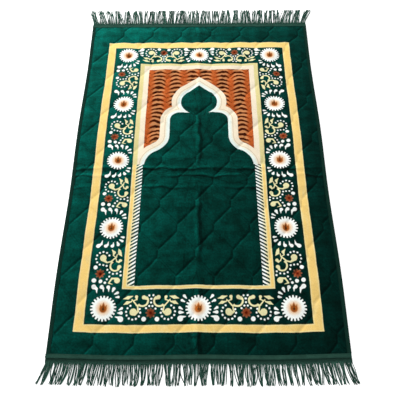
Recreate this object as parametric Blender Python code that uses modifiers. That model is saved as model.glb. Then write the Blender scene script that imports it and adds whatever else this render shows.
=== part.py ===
"""A padded prayer rug, laid out flat on the floor.

The quilted velvet face, its padding and its backing are one sewn mat, rug_body. Ribbed tapes fold round
its four edges, and a comb of fringe is sewn to each end. X runs across the rug, +Y points the way that
the niche of its design points, and the origin is on the floor under the middle of the whole rug.
"""

import math
import random

import bmesh
import bpy
from mathutils import Vector

# The cloth
RUG_WIDTH = 0.703
RUG_LENGTH = 1.102
PAD_HEIGHT = 0.0085
RIM_THICKNESS = 0.0030
RIM_STEP = 0.0030
SHOULDER = 0.030

# The quilting: upright runs of stitches, joined by slanting ones into long hexagons
CELL_WIDTH = 0.0945
CELL_PITCH = 0.145
CELL_UPRIGHT = 0.020
CELL_ORIGIN = (0.0394, -0.2172)
CHANNEL_DEPTH = 0.0026
CHANNEL_HALF_WIDTH = 0.034

# Creases left by folding, as soft ridges: the axis each one crosses, its place, half width and rise
CREASES = (
    {"across": "x", "place": -0.001, "half_width": 0.024, "rise": 0.0016},
    {"across": "y", "place": -0.032, "half_width": 0.015, "rise": 0.0018},
    {"across": "y", "place": -0.056, "half_width": 0.015, "rise": 0.0011},
    {"across": "y", "place": -0.093, "half_width": 0.016, "rise": 0.0007},
)
CORNER_HOLLOW = {"x": 0.324, "y": 0.506, "radius": 0.042, "depth": 0.0022}

# The tapes that bind the edges
TAPE_FACE = 0.010
TAPE_THICKNESS = 0.0010
TAPE_ROUNDING = 0.0012
TAPE_SLACK = 0.0008
TAPE_TAB = 0.003

# The fringes: which end each is on, how long its longest strands are, and how far its end clumps splay out
FRINGES = {
    "fringe_front": {"end": -1, "strand": 0.050, "splay": 0.012},
    "fringe_back": {"end": 1, "strand": 0.069, "splay": 0.017},
}
HEADING_WIDTH = 0.009
FRINGE_THICKNESS = 0.0024
STRAND_UNEVEN = 0.005
CLUMP_PITCH = 0.0132
CLUMP_ROOT = 0.0092
CLUMP_TIP = 0.0074

# How the rug lies
NEAR_BOW = 0.0026
NEAR_LOBES = 0.0024
SIDE_FLARE = 0.0083
SIDE_WAVE = 0.0014
SIDE_WAVE_LENGTH = 0.46

CLEARANCE = 0.0003
CELL_SIZE = 0.0195
TAPE_STEP = 0.045
SEED = 8

HALF_WIDTH = RUG_WIDTH / 2
HALF_LENGTH = RUG_LENGTH / 2
TAPE_HEIGHT = RIM_THICKNESS + 2 * (TAPE_THICKNESS + CLEARANCE)

# Finishes: base colour and roughness
VELVET = ((0.004, 0.110, 0.075), 0.85)
TAPE_CLOTH = ((0.045, 0.120, 0.100), 0.90)
YARN = ((0.040, 0.115, 0.090), 0.90)


def clear_scene():
    for obj in list(bpy.data.objects):
        bpy.data.objects.remove(obj)


def smoothstep(value):
    value = min(max(value, 0.0), 1.0)
    return value * value * (3 - 2 * value)


def settle(x, y):
    """Where a point of the flat, squared-up rug comes to lie.

    The near end bows out, most of all each side of the middle crease. The cloth is a little wider at its
    far end, and its long sides wander.
    """
    nearness = smoothstep(-y / HALF_LENGTH)
    bow = NEAR_BOW * math.cos(math.pi * x / RUG_WIDTH) + NEAR_LOBES * math.sin(2 * math.pi * x / RUG_WIDTH) ** 2
    wander = SIDE_WAVE * math.sin(2 * math.pi * y / SIDE_WAVE_LENGTH)
    return x * (1 + SIDE_FLARE * y / HALF_LENGTH) + wander * x / HALF_WIDTH, y - nearness * bow


def distance_to_run(x, y, start, end):
    """How far a point is from a straight run of stitches."""
    along_x, along_y = end[0] - start[0], end[1] - start[1]
    share = ((x - start[0]) * along_x + (y - start[1]) * along_y) / (along_x**2 + along_y**2)
    share = min(max(share, 0.0), 1.0)
    return math.hypot(x - start[0] - share * along_x, y - start[1] - share * along_y)


def distance_to_quilting(x, y):
    """How far a point is from the nearest stitched channel, found in one mirrored quarter of a cell."""
    half_x, half_y, upright = CELL_WIDTH / 2, CELL_PITCH / 2, CELL_UPRIGHT / 2
    x = abs((x - CELL_ORIGIN[0] + half_x) % CELL_WIDTH - half_x)
    y = abs((y - CELL_ORIGIN[1] + half_y) % CELL_PITCH - half_y)
    corners = ((0, 0), (0, upright), (half_x, half_y - upright), (half_x, half_y))
    return min(distance_to_run(x, y, corners[i], corners[i + 1]) for i in range(3))


def face_height(x, y):
    """Height of the velvet over the floor: puffed cells between channels, creases, and a pressed rim."""
    height = PAD_HEIGHT
    height -= CHANNEL_DEPTH * (1 - smoothstep(distance_to_quilting(x, y) / CHANNEL_HALF_WIDTH))
    for crease in CREASES:
        away = (x if crease["across"] == "x" else y) - crease["place"]
        height += crease["rise"] * (1 - smoothstep(abs(away) / crease["half_width"]))
    pucker = math.hypot(abs(x) - CORNER_HOLLOW["x"], y - CORNER_HOLLOW["y"]) / CORNER_HOLLOW["radius"]
    height -= CORNER_HOLLOW["depth"] * (1 - smoothstep(pucker))
    rim_top = TAPE_THICKNESS + CLEARANCE + RIM_THICKNESS
    inward = min(HALF_WIDTH - abs(x), HALF_LENGTH - abs(y)) - TAPE_FACE - CLEARANCE
    share = min(max(inward / SHOULDER, 0.0), 1.0)
    return rim_top + (height - rim_top) * math.sin(math.pi / 2 * share)


def stations(half_size):
    """Grid lines from one edge of the mat to the other: the rim's two on each side, and even ones between."""
    edge = half_size - TAPE_THICKNESS - TAPE_SLACK
    rim = half_size - TAPE_FACE - CLEARANCE
    first_full = rim - RIM_STEP
    count = round(2 * first_full / CELL_SIZE)
    inner = [-first_full + 2 * first_full * i / count for i in range(count + 1)]
    return [-edge, -rim, *inner, rim, edge]


def grid_of(bm, columns, rows):
    """A sheet of quads whose lines are at the given columns and rows."""
    bmesh.ops.create_grid(bm, x_segments=len(columns) - 1, y_segments=len(rows) - 1, size=0.5)
    for vertex in bm.verts:
        vertex.co.x = columns[round((vertex.co.x + 0.5) * (len(columns) - 1))]
        vertex.co.y = rows[round((vertex.co.y + 0.5) * (len(rows) - 1))]


def finish_of(name, look):
    colour, roughness = look
    material = bpy.data.materials.new(name)
    material.use_nodes = True
    shader = material.node_tree.nodes["Principled BSDF"]
    shader.inputs["Base Color"].default_value = (*colour, 1.0)
    shader.inputs["Roughness"].default_value = roughness
    shader.inputs["Metallic"].default_value = 0.0
    return material


def object_from(name, bm, collection, material):
    mesh = bpy.data.meshes.new(name)
    bm.to_mesh(mesh)
    bm.free()
    mesh.materials.append(material)
    obj = bpy.data.objects.new(name, mesh)
    collection.objects.link(obj)
    return obj


def build_body(collection, material):
    """The quilted mat: its puffed face extruded down to a flat underside, which steps up over the tapes."""
    columns, rows = stations(HALF_WIDTH), stations(HALF_LENGTH)
    rim_x, rim_y = columns[-2] - CLEARANCE / 2, rows[-2] - CLEARANCE / 2
    bm = bmesh.new()
    grid_of(bm, columns, rows)
    under = bmesh.ops.extrude_face_region(bm, geom=bm.faces[:])["geom"]
    under = {item for item in under if isinstance(item, bmesh.types.BMVert)}
    for vertex in bm.verts:
        x, y = vertex.co.x, vertex.co.y
        on_rim = abs(x) > rim_x or abs(y) > rim_y
        if vertex in under:
            vertex.co.z = TAPE_THICKNESS + CLEARANCE if on_rim else 0.0
        else:
            vertex.co.z = face_height(x, y)
        vertex.co.x, vertex.co.y = settle(x, y)
    flat = [face for face in bm.faces if all(v in under and v.co.z == 0 for v in face.verts)]
    bmesh.ops.dissolve_faces(bm, faces=flat)
    bmesh.ops.recalc_face_normals(bm, faces=bm.faces)
    body = object_from("rug_body", bm, collection, material)
    body.data.shade_smooth()
    body.data.set_sharp_from_angle(angle=math.radians(40))
    return body


def tape_profile():
    """Outside of a folded tape as (distance in from the edge, height), from under the rug to over it."""
    return (
        (TAPE_FACE, 0.0),
        (TAPE_ROUNDING, 0.0),
        (0.0, TAPE_ROUNDING),
        (0.0, TAPE_HEIGHT - TAPE_ROUNDING),
        (TAPE_ROUNDING, TAPE_HEIGHT),
        (TAPE_FACE, TAPE_HEIGHT),
    )


def build_tape(name, side, low, high, collection, material):
    """A tape folded round one edge. side is the way out of the rug, and low and high are its two ends."""
    profile = tape_profile()
    count = math.ceil((high - low) / TAPE_STEP)
    runs = [low + (high - low) * i / count for i in range(count + 1)]
    half_size = HALF_WIDTH if side[0] else HALF_LENGTH
    bm = bmesh.new()
    grid_of(bm, range(len(profile)), runs)
    for vertex in bm.verts:
        inward, height = profile[round(vertex.co.x)]
        outward = (side[0] + side[1]) * (half_size - inward)
        x, y = (outward, vertex.co.y) if side[0] else (vertex.co.y, outward)
        vertex.co.x, vertex.co.y = settle(x, y)
        vertex.co.z = height
    bm.normal_update()
    if max(bm.faces, key=lambda face: face.calc_center_median().z).normal.z < 0:
        bmesh.ops.reverse_faces(bm, faces=bm.faces)
    tape = object_from(name, bm, collection, material)
    wall = tape.modifiers.new("Tape", "SOLIDIFY")
    wall.thickness = TAPE_THICKNESS
    wall.offset = -1
    wall.use_even_offset = True
    return tape


def comb_outline(fringe, rng):
    """Outline of one fringe: a straight heading against the tape, and leaning clumps of yarn beyond it."""
    inner = HALF_LENGTH + CLEARANCE
    root = inner + HEADING_WIDTH
    count = round((RUG_WIDTH - CLUMP_ROOT) / CLUMP_PITCH)
    outline = []
    for i in range(count + 1):
        middle = -HALF_WIDTH + CLUMP_ROOT / 2 + (RUG_WIDTH - CLUMP_ROOT) * i / count
        lean = fringe["splay"] * (middle / HALF_WIDTH) ** 3 + rng.uniform(-0.0012, 0.0012)
        length = fringe["strand"] - rng.uniform(0, STRAND_UNEVEN)
        half_root = CLUMP_ROOT / 2 * rng.uniform(0.85, 1.1)
        half_tip = CLUMP_TIP / 2 * rng.uniform(0.75, 1.15)
        outline.append((max(middle - half_root, -HALF_WIDTH), root))
        outline.append((middle + lean - half_tip, root + length * rng.uniform(0.94, 1)))
        outline.append((middle + lean + half_tip * 0.2, root + length))
        outline.append((middle + lean + half_tip, root + length * rng.uniform(0.94, 1)))
        outline.append((min(middle + half_root, HALF_WIDTH), root))
    runs = math.ceil(RUG_WIDTH / TAPE_STEP)
    outline += [(HALF_WIDTH - RUG_WIDTH * i / runs, inner) for i in range(runs + 1)]
    return [settle(x, fringe["end"] * y) for x, y in outline]


def build_fringe(name, rng, collection, material):
    """A flat comb of yarn clumps, sewn on beyond the end tape."""
    outline = comb_outline(FRINGES[name], rng)
    curve = bpy.data.curves.new(name, "CURVE")
    curve.dimensions = "2D"
    curve.fill_mode = "BOTH"
    curve.extrude = FRINGE_THICKNESS / 2
    spline = curve.splines.new("POLY")
    spline.points.add(len(outline) - 1)
    for point, (x, y) in zip(spline.points, outline):
        point.co = (x, y, 0, 1)
    spline.use_cyclic_u = True
    curve.materials.append(material)
    fringe = bpy.data.objects.new(name, curve)
    fringe.location.z = FRINGE_THICKNESS / 2
    collection.objects.link(fringe)
    return fringe


def centre_on_floor(collection):
    """Puts the origin under the middle of everything, fringes included."""
    bpy.context.view_layer.update()
    corners = [obj.matrix_world @ Vector(corner) for obj in collection.objects for corner in obj.bound_box]
    middle = [(min(axis) + max(axis)) / 2 for axis in zip(*corners)]
    for obj in collection.objects:
        obj.location.x -= middle[0]
        obj.location.y -= middle[1]


def main():
    clear_scene()
    collection = bpy.data.collections.new("prayer_rug")
    bpy.context.scene.collection.children.link(collection)
    velvet = finish_of("velvet", VELVET)
    tape_cloth = finish_of("tape_cloth", TAPE_CLOTH)
    yarn = finish_of("yarn", YARN)
    rng = random.Random(SEED)

    build_body(collection, velvet)
    side_end = HALF_LENGTH - TAPE_FACE - CLEARANCE
    build_tape("side_binding_left", (-1, 0), -side_end, side_end, collection, tape_cloth)
    build_tape("side_binding_right", (1, 0), -side_end, side_end, collection, tape_cloth)
    build_tape("end_tape_front", (0, -1), -HALF_WIDTH, HALF_WIDTH + TAPE_TAB, collection, tape_cloth)
    build_tape("end_tape_back", (0, 1), -HALF_WIDTH, HALF_WIDTH, collection, tape_cloth)
    for name in FRINGES:
        build_fringe(name, rng, collection, yarn)
    centre_on_floor(collection)


main()
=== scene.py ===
"""A padded velvet prayer rug, laid out flat on the floor.

The mat is one sheet of printed velvet quilted to its padding and backing. Ribbed tapes fold round its
edges, and a fringe is sewn beyond each end. The design of the velvet is drawn in millimetres about the
middle of the cloth, X across and Y towards the end that the niche points at.
"""

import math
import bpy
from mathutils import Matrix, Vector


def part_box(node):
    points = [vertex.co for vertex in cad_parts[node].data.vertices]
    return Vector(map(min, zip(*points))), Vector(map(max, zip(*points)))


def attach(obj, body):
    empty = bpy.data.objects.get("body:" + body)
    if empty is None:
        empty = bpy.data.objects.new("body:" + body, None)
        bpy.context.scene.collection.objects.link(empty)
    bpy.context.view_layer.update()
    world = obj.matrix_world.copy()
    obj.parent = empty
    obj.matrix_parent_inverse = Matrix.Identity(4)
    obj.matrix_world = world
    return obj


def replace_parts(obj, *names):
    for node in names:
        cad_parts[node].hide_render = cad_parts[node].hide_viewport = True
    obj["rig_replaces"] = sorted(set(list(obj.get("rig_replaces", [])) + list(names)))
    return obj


bl_info = {
    "name": "Padded Prayer Rug",
    "version": (1, 0, 0),
    "blender": (4, 5, 0),
    "location": "View3D > Sidebar > Prayer Rug",
    "description": "Quilted velvet mat with taped edges and fringed ends",
    "category": "Object",
}

from contextlib import contextmanager

import bpy
import numpy as np
from mathutils import Matrix, Vector

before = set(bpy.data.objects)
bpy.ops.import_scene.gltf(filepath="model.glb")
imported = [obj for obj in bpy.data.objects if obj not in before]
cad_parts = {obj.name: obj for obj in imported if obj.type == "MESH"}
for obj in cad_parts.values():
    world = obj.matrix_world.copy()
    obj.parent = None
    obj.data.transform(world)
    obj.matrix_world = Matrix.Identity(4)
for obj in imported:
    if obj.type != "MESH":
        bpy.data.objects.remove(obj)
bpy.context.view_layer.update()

# The cloth, and how it lies: the bow of its near end, its wider far end and the waver of its long sides
CLOTH_WIDTH = 0.703
CLOTH_LENGTH = 1.102
NEAR_BOW = 0.0026
NEAR_LOBES = 0.0024
SIDE_FLARE = 0.0083
SIDE_WAVE = 0.0014
SIDE_WAVE_LENGTH = 0.46

CLEARANCE = 0.0003
FLOOR_GAP = 0.0002
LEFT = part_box("side_binding_left")
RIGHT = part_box("side_binding_right")
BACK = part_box("end_tape_back")
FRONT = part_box("end_tape_front")
TAPE_FACE = BACK[1].y - BACK[0].y
TAPE_HEIGHT = LEFT[1].z
HALF_WIDTH = CLOTH_WIDTH / 2
HALF_LENGTH = CLOTH_LENGTH / 2
RIM_WIDTH = TAPE_FACE + CLEARANCE
MIDDLE = ((LEFT[0].x + RIGHT[1].x) / 2, BACK[1].y - HALF_LENGTH)

# The mat's rim, which the tapes fold round
CROWN = 0.0085
RIM_UNDER = 0.0013
RIM_TOP = 0.0043
RIM_STEP = 0.0030
RIM_SLACK = 0.0018
SHOULDER = 0.030

# The quilting: upright runs of stitches, joined by slanting ones into long hexagons
CELL_WIDTH = 0.0945
CELL_PITCH = 0.145
CELL_UPRIGHT = 0.020
CELL_ORIGIN = (0.0394, -0.2172)
CHANNEL_DEPTH = 0.0026
CHANNEL_HALF_WIDTH = 0.034
STITCH_DEPTH = 0.0011
STITCH_HALF_WIDTH = 0.0042
STITCH_LENGTH = 0.005
BACKING_THREAD = 0.0011

# The tapes: how thick, and how far in from its edge each is sewn down
TAPE_THICKNESS = 0.0010
TAPE_THREAD = 0.0007
SEAM_INSET = 0.0024
SEAM_DIP = 0.00035
SIDE_SHADE = 0.75

# Creases left by folding, as soft ridges: the axis each one crosses, its place, half width and rise
CREASES = (
    {"across": 0, "place": -0.001, "half_width": 0.024, "rise": 0.0016},
    {"across": 1, "place": -0.032, "half_width": 0.015, "rise": 0.0018},
    {"across": 1, "place": -0.056, "half_width": 0.015, "rise": 0.0011},
    {"across": 1, "place": -0.093, "half_width": 0.016, "rise": 0.0007},
)
CORNER_HOLLOW = {"x": 0.324, "y": 0.506, "radius": 0.042, "depth": 0.0022}

# The design of the velvet, in millimetres
ROSETTE_X = 225.8
ROSETTE_PITCH = 209.4
DESIGN_MIDDLE = 1.3
DESIGN_SHIFT = 6.35
DESIGN_STRETCH = 4.47e-5
ROSETTE_RADIUS = 25.0
ROSETTE_RAY_TIP = 30.6
ROSETTE_RAYS = 22
GOLD_FRAME = {"outer": (291.5, -473.2, 479.6), "inner": (268.5, -455.0, 453.5)}
GOLD_LINE = {"outer": (184.5, -370.6, 380.3), "lower": (173.0, -362.0), "upper": (171.5, 371.0)}
SPRINGING = -13.0
PANEL = {"half_width": 156.5, "top": 355.4}
FIELD_HALF_WIDTH = 153.5
HATCH = {"inner": 156.0, "outer": 176.0, "pitch": 10.0, "slope": 0.62}
ARCH_BAND = 28.0
STROKES = {"spacing": 51.4, "first": 21.0, "half_width": 21.0, "pitch": 16.8}
BEAD = 2.4
FLOWER_RADIUS = 11.8
PETAL_DEPTH = 0.42
NEAR_SHIFT = 2.2

# How far the joints of scrolls and leaves are filled out, and a distance that takes a shape out of reach
MELT = 1.6
LEAF_MELT = 1.2
FAR_OFF = 1000.0

# The fringes: lengths in metres, from the heading's cords to the clumps and sides of the yarns
FRINGES = {
    "fringe_front": {"end": -1, "strand": 0.050, "splay": 0.012, "wander": 0.0042, "seed": 3},
    "fringe_back": {"end": 1, "strand": 0.069, "splay": 0.022, "wander": 0.0080, "seed": 4},
}
HEADING_WIDTH = 0.009
HEADING_CORDS = 3
CORD_TURN = 0.003
CORD_TONE = 0.45
HEADING_UNDER = 0.0001
TUCK = 0.0004
ROOT_TUCK = 0.0018
SPREAD = 0.022
STRAND_UNEVEN = 0.006
CLUMP_PITCH = 0.0132
YARN_SIDES = 7
YARN_RINGS = 15
YARN_STANCE = 3.0
YARN_TWIST = 0.0034

# Painted light and shade on the velvet: slopes that face the lit side are painted brighter, and slopes that
# face away are painted darker
LIT_SIDE = (-0.67, 0.74)
STITCH_OFFSET = 1.7
SLOPE_STEP = 0.0022
BROAD_SLOPES = 0.42
CREASE_SLOPES = 3.4
CREASE_SHARPNESS = 0.45

# The stage
LAMPS = {
    "key_light": {"place": (-1.3, 2.0, 1.8), "size": 0.7, "power": 76.0},
    "fill_light": {"place": (0.9, -1.9, 2.6), "size": 2.2, "power": 12.0},
}
LIT_PLACE = (0, 0.1, 0)
CAMERA_FROM_MIDDLE = (0.0153, -0.8594, 1.2036)
CAMERA_YAW = -0.943
CAMERA_ROLL = -1.018

MM = 0.001
EDGE_SOFTNESS = 0.9


def srgb(red, green, blue):
    """A colour given as it looks on screen, 0 to 255, as the linear colour that shaders take."""
    share = [value / 255 for value in (red, green, blue)]
    return tuple(v / 12.92 if v <= 0.04045 else ((v + 0.055) / 1.055) ** 2.4 for v in share)


def colour_property(name, description, default):
    return bpy.props.FloatVectorProperty(
        name=name, description=description, default=default, subtype="COLOR", size=3, min=0, max=1
    )


def length_property(name, description, default):
    return bpy.props.FloatProperty(
        name=name, description=description, default=default, min=0, subtype="DISTANCE", unit="LENGTH"
    )


class VelvetSettings(bpy.types.PropertyGroup):
    ground: colour_property("Ground", "Green of the velvet", srgb(0, 57, 49))
    ground_brushed: colour_property("Brushed ground", "Green of pile lying the other way", srgb(0, 73, 64))
    ground_deep: colour_property("Deep ground", "Green where the pile stands", srgb(0, 38, 31))
    gold: colour_property("Gold", "Middle of the gold bands", srgb(244, 208, 124))
    pale_gold: colour_property("Pale gold", "Edges of the gold bands", srgb(238, 226, 172))
    cream: colour_property("Cream", "Band of the arch", srgb(240, 226, 200))
    white: colour_property("White", "Rosettes and dots", srgb(247, 251, 246))
    scroll: colour_property("Scroll", "Scrolls and leaves", srgb(234, 228, 176))
    rust: colour_property("Rust", "Panel over the arch", srgb(178, 80, 32))
    stroke: colour_property("Stroke", "Dark strokes of the panel", srgb(66, 22, 4))
    highlight: colour_property("Highlight", "Pale strokes of the panel", srgb(198, 132, 84))
    flower: colour_property("Flower", "Small flowers of the border", srgb(142, 66, 34))
    pile: length_property("Pile", "Size of one tuft of the pile", 0.0011)


class QuiltSettings(bpy.types.PropertyGroup):
    cell: length_property("Cell", "Size of the mesh's cells over the mat", 0.00293)
    unevenness: length_property("Unevenness", "How far the padding swells and sinks", 0.0005)
    stitch_depth: length_property("Stitch depth", "How deep the stitches pull the pile down", STITCH_DEPTH)


class TapeSettings(bpy.types.PropertyGroup):
    colour: colour_property("Colour", "Green of the binding tapes", srgb(50, 90, 77))
    rib: length_property("Rib", "Pitch of the tape's ribs", 0.0014)
    stitch: length_property("Stitch", "Length of one stitch of the seam", 0.0032)


class FringeSettings(bpy.types.PropertyGroup):
    colour: colour_property("Colour", "Green of the yarn", srgb(62, 104, 90))
    shade: colour_property("Shade", "Darkest yarns", srgb(22, 50, 41))
    yarn: length_property("Yarn", "Thickness of one yarn", 0.0023)
    strands: bpy.props.IntProperty(name="Strands", description="Yarns in one fringe", default=360, min=10)


class StageSettings(bpy.types.PropertyGroup):
    floor: colour_property("Floor", "Colour of the floor", (0.92, 0.92, 0.92))
    floor_size: length_property("Floor size", "Length of the floor's side", 160.0)
    floor_glow: bpy.props.FloatProperty(name="Floor glow", description="Light of the floor", default=0.65)
    sky: bpy.props.FloatProperty(name="Sky", description="Strength of the light all round", default=0.50)
    camera_pitch: bpy.props.FloatProperty(
        name="Camera pitch", description="How far the camera looks down", subtype="ANGLE",
        default=math.radians(58.82),
    )
    lens: bpy.props.FloatProperty(name="Lens", description="Focal length in millimetres", default=47.25)


# ---------------------------------------------------------------------------------------------------
# How the cloth lies


def smoothstep(value):
    value = np.clip(value, 0.0, 1.0)
    return value * value * (3 - 2 * value)


def settle(x, y):
    """Where points of the flat, squared-up rug come to lie on the floor."""
    nearness = smoothstep(-y / HALF_LENGTH)
    bow = NEAR_BOW * np.cos(np.pi * x / CLOTH_WIDTH) + NEAR_LOBES * np.sin(2 * np.pi * x / CLOTH_WIDTH) ** 2
    wander = SIDE_WAVE * np.sin(2 * np.pi * y / SIDE_WAVE_LENGTH)
    across = x * (1 + SIDE_FLARE * y / HALF_LENGTH) + wander * x / HALF_WIDTH
    return across + MIDDLE[0], y - nearness * bow + MIDDLE[1]


def quilting_corners():
    """The bends of one mirrored quarter of a quilting cell."""
    half_x, half_y, upright = CELL_WIDTH / 2, CELL_PITCH / 2, CELL_UPRIGHT / 2
    return ((0.0, 0.0), (0.0, upright), (half_x, half_y - upright), (half_x, half_y))


def distance_to_quilting(x, y):
    half_x, half_y = CELL_WIDTH / 2, CELL_PITCH / 2
    x = np.abs((x - CELL_ORIGIN[0] + half_x) % CELL_WIDTH - half_x)
    y = np.abs((y - CELL_ORIGIN[1] + half_y) % CELL_PITCH - half_y)
    corners = quilting_corners()
    nearest = np.full_like(x, 1.0)
    for start, end in zip(corners, corners[1:]):
        along_x, along_y = end[0] - start[0], end[1] - start[1]
        share = ((x - start[0]) * along_x + (y - start[1]) * along_y) / (along_x**2 + along_y**2)
        share = np.clip(share, 0, 1)
        away = np.hypot(x - start[0] - share * along_x, y - start[1] - share * along_y)
        nearest = np.minimum(nearest, away)
    return nearest


def unevenness(x, y, amount):
    """Soft random swells, the same on every run."""
    rng = np.random.default_rng(5)
    total = np.zeros_like(x)
    for _ in range(14):
        angle, turn = rng.uniform(0, 2 * np.pi, 2)
        wave = 2 * np.pi / rng.uniform(0.045, 0.16)
        total += np.sin(wave * (np.cos(angle) * x + np.sin(angle) * y) + turn)
    return amount * total / 3


def face_height(x, y, quilt):
    """Height of the velvet over the floor: puffed cells between channels, creases, and a pressed rim."""
    away = distance_to_quilting(x, y)
    height = CROWN - CHANNEL_DEPTH * (1 - smoothstep(away / CHANNEL_HALF_WIDTH))
    height -= quilt.stitch_depth * np.exp(-((away / STITCH_HALF_WIDTH) ** 2))
    height += unevenness(x, y, quilt.unevenness) * smoothstep(away / CHANNEL_HALF_WIDTH)
    for crease in CREASES:
        off = np.abs((x, y)[crease["across"]] - crease["place"])
        height += crease["rise"] * (1 - smoothstep(off / crease["half_width"]))
    pucker = np.hypot(np.abs(x) - CORNER_HOLLOW["x"], y - CORNER_HOLLOW["y"]) / CORNER_HOLLOW["radius"]
    height -= CORNER_HOLLOW["depth"] * (1 - smoothstep(pucker))
    inward = np.minimum(HALF_WIDTH - np.abs(x), HALF_LENGTH - np.abs(y)) - RIM_WIDTH
    return RIM_TOP + (height - RIM_TOP) * np.sin(np.pi / 2 * np.clip(inward / SHOULDER, 0, 1))


def painted_slope_shading(x, y, quilt):
    """Painted light and shade: how far the velvet's broad slopes and its creases face the lit side."""
    heights = []
    for step in (-SLOPE_STEP, SLOPE_STEP):
        there = (x + step * LIT_SIDE[0], y + step * LIT_SIDE[1])
        height = face_height(*there, quilt) * BROAD_SLOPES
        for crease in CREASES:
            along = there[1 - crease["across"]]
            wander = 0.0024 * np.sin(along * 41.0 + crease["place"] * 400.0) + 0.0016 * np.sin(along * 113.0)
            off = np.abs(there[crease["across"]] - crease["place"] - wander)
            fade = 0.55 + 0.45 * np.sin(along * 23.0 + crease["place"] * 90.0)
            sharp = crease["half_width"] * CREASE_SHARPNESS
            height += crease["rise"] * CREASE_SLOPES * fade * (1 - smoothstep(off / sharp))
        heights.append(height)
    return np.clip((heights[0] - heights[1]) / (2 * SLOPE_STEP), -0.3, 0.3)


# ---------------------------------------------------------------------------------------------------
# Modelling


def deselect():
    if bpy.context.mode != "OBJECT":
        bpy.ops.object.mode_set(mode="OBJECT")
    bpy.ops.object.select_all(action="DESELECT")


def choose(*pieces):
    """Selects only the given pieces, and makes the last of them active."""
    deselect()
    for piece in pieces:
        piece.select_set(True)
    bpy.context.view_layer.objects.active = pieces[-1]


def values_of(items, field, kind=np.float32, width=1):
    """A field of all of a mesh's points, faces or corners, a row for each."""
    values = np.empty(len(items) * width, kind)
    items.foreach_get(field, values)
    return values.reshape(-1, width) if width > 1 else values


def points_of(piece):
    return values_of(piece.data.vertices, "co", np.float64, 3)


def place_points(piece, points):
    piece.data.vertices.foreach_set("co", np.ascontiguousarray(points, dtype=np.float64).ravel())
    piece.data.update()


def add_grid(name, columns, rows):
    """A flat sheet of quads whose lines lie at the given columns and rows."""
    deselect()
    bpy.ops.mesh.primitive_grid_add(x_subdivisions=len(columns) - 1, y_subdivisions=len(rows) - 1, size=1)
    piece = bpy.context.object
    piece.name = name
    points = points_of(piece)
    across = np.rint((points[:, 0] + 0.5) * (len(columns) - 1)).astype(int)
    along = np.rint((points[:, 1] + 0.5) * (len(rows) - 1)).astype(int)
    points[:, 0], points[:, 1] = np.asarray(columns)[across], np.asarray(rows)[along]
    place_points(piece, points)
    return piece


@contextmanager
def edit_mode(select="SELECT"):
    """Edit mode on the active piece, with all of it selected or none."""
    bpy.ops.object.mode_set(mode="EDIT")
    bpy.ops.mesh.select_all(action=select)
    yield
    bpy.ops.object.mode_set(mode="OBJECT")


def turn_faces_out():
    """Makes the faces of the closed piece that is active look outwards."""
    with edit_mode():
        bpy.ops.mesh.normals_make_consistent(inside=False)


def close_underneath(loops):
    """Carries the active sheet's edge through loops, each (x scale, y scale, height), and closes the last."""
    with edit_mode("DESELECT"):
        bpy.ops.mesh.select_mode(type="EDGE")
        bpy.ops.mesh.select_non_manifold(
            extend=False, use_wire=False, use_multi_face=False, use_non_contiguous=False, use_verts=False
        )
        bpy.ops.transform.resize(value=(1, 1, 0), center_override=(0, 0, loops[0][2]))
        for scale_x, scale_y, height in loops[1:]:
            bpy.ops.mesh.extrude_region_move()
            bpy.ops.transform.resize(value=(scale_x, scale_y, 0), center_override=(0, 0, height))
        bpy.ops.mesh.edge_face_add()
    turn_faces_out()


def keep_place(piece, name, *columns):
    """Stores three numbers at each point, for the material to read."""
    attribute = piece.data.attributes.new(name, "FLOAT_VECTOR", "POINT")
    attribute.data.foreach_set("vector", np.stack(columns, axis=-1).astype(np.float32).ravel())


def apply_modifier(piece, kind, **settings):
    modifier = piece.modifiers.new(kind.title(), kind)
    for name, value in settings.items():
        setattr(modifier, name, value)
    bpy.context.view_layer.objects.active = piece
    bpy.ops.object.modifier_apply(modifier=modifier.name)


def smooth(piece, degrees):
    choose(piece)
    bpy.ops.object.shade_smooth_by_angle(angle=math.radians(degrees))


def stands_for(piece, node):
    """The finished piece rides on the rug and takes its node's place."""
    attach(piece, "root")
    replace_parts(piece, node)


# ---------------------------------------------------------------------------------------------------
# Materials as Python expressions


def maths_operator(operation, swapped=False):
    """A method that joins a Wire and a number or another Wire with one Math node."""

    def join(wire, other):
        first, second = (other, wire) if swapped else (wire, other)
        return wire.finish.maths(operation, first, second)

    return join


class Wire:
    """A socket on its way through a material. Operators on it add Math nodes."""

    def __init__(self, finish, socket):
        self.finish = finish
        self.socket = socket

    __add__ = __radd__ = maths_operator("ADD")
    __sub__ = maths_operator("SUBTRACT")
    __rsub__ = maths_operator("SUBTRACT", swapped=True)
    __mul__ = __rmul__ = maths_operator("MULTIPLY")
    __truediv__ = maths_operator("DIVIDE")
    __mod__ = maths_operator("FLOORED_MODULO")
    __pow__ = maths_operator("POWER")

    def __neg__(self):
        return self * -1.0

    def __abs__(self):
        return self.finish.maths("ABSOLUTE", self)


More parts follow.
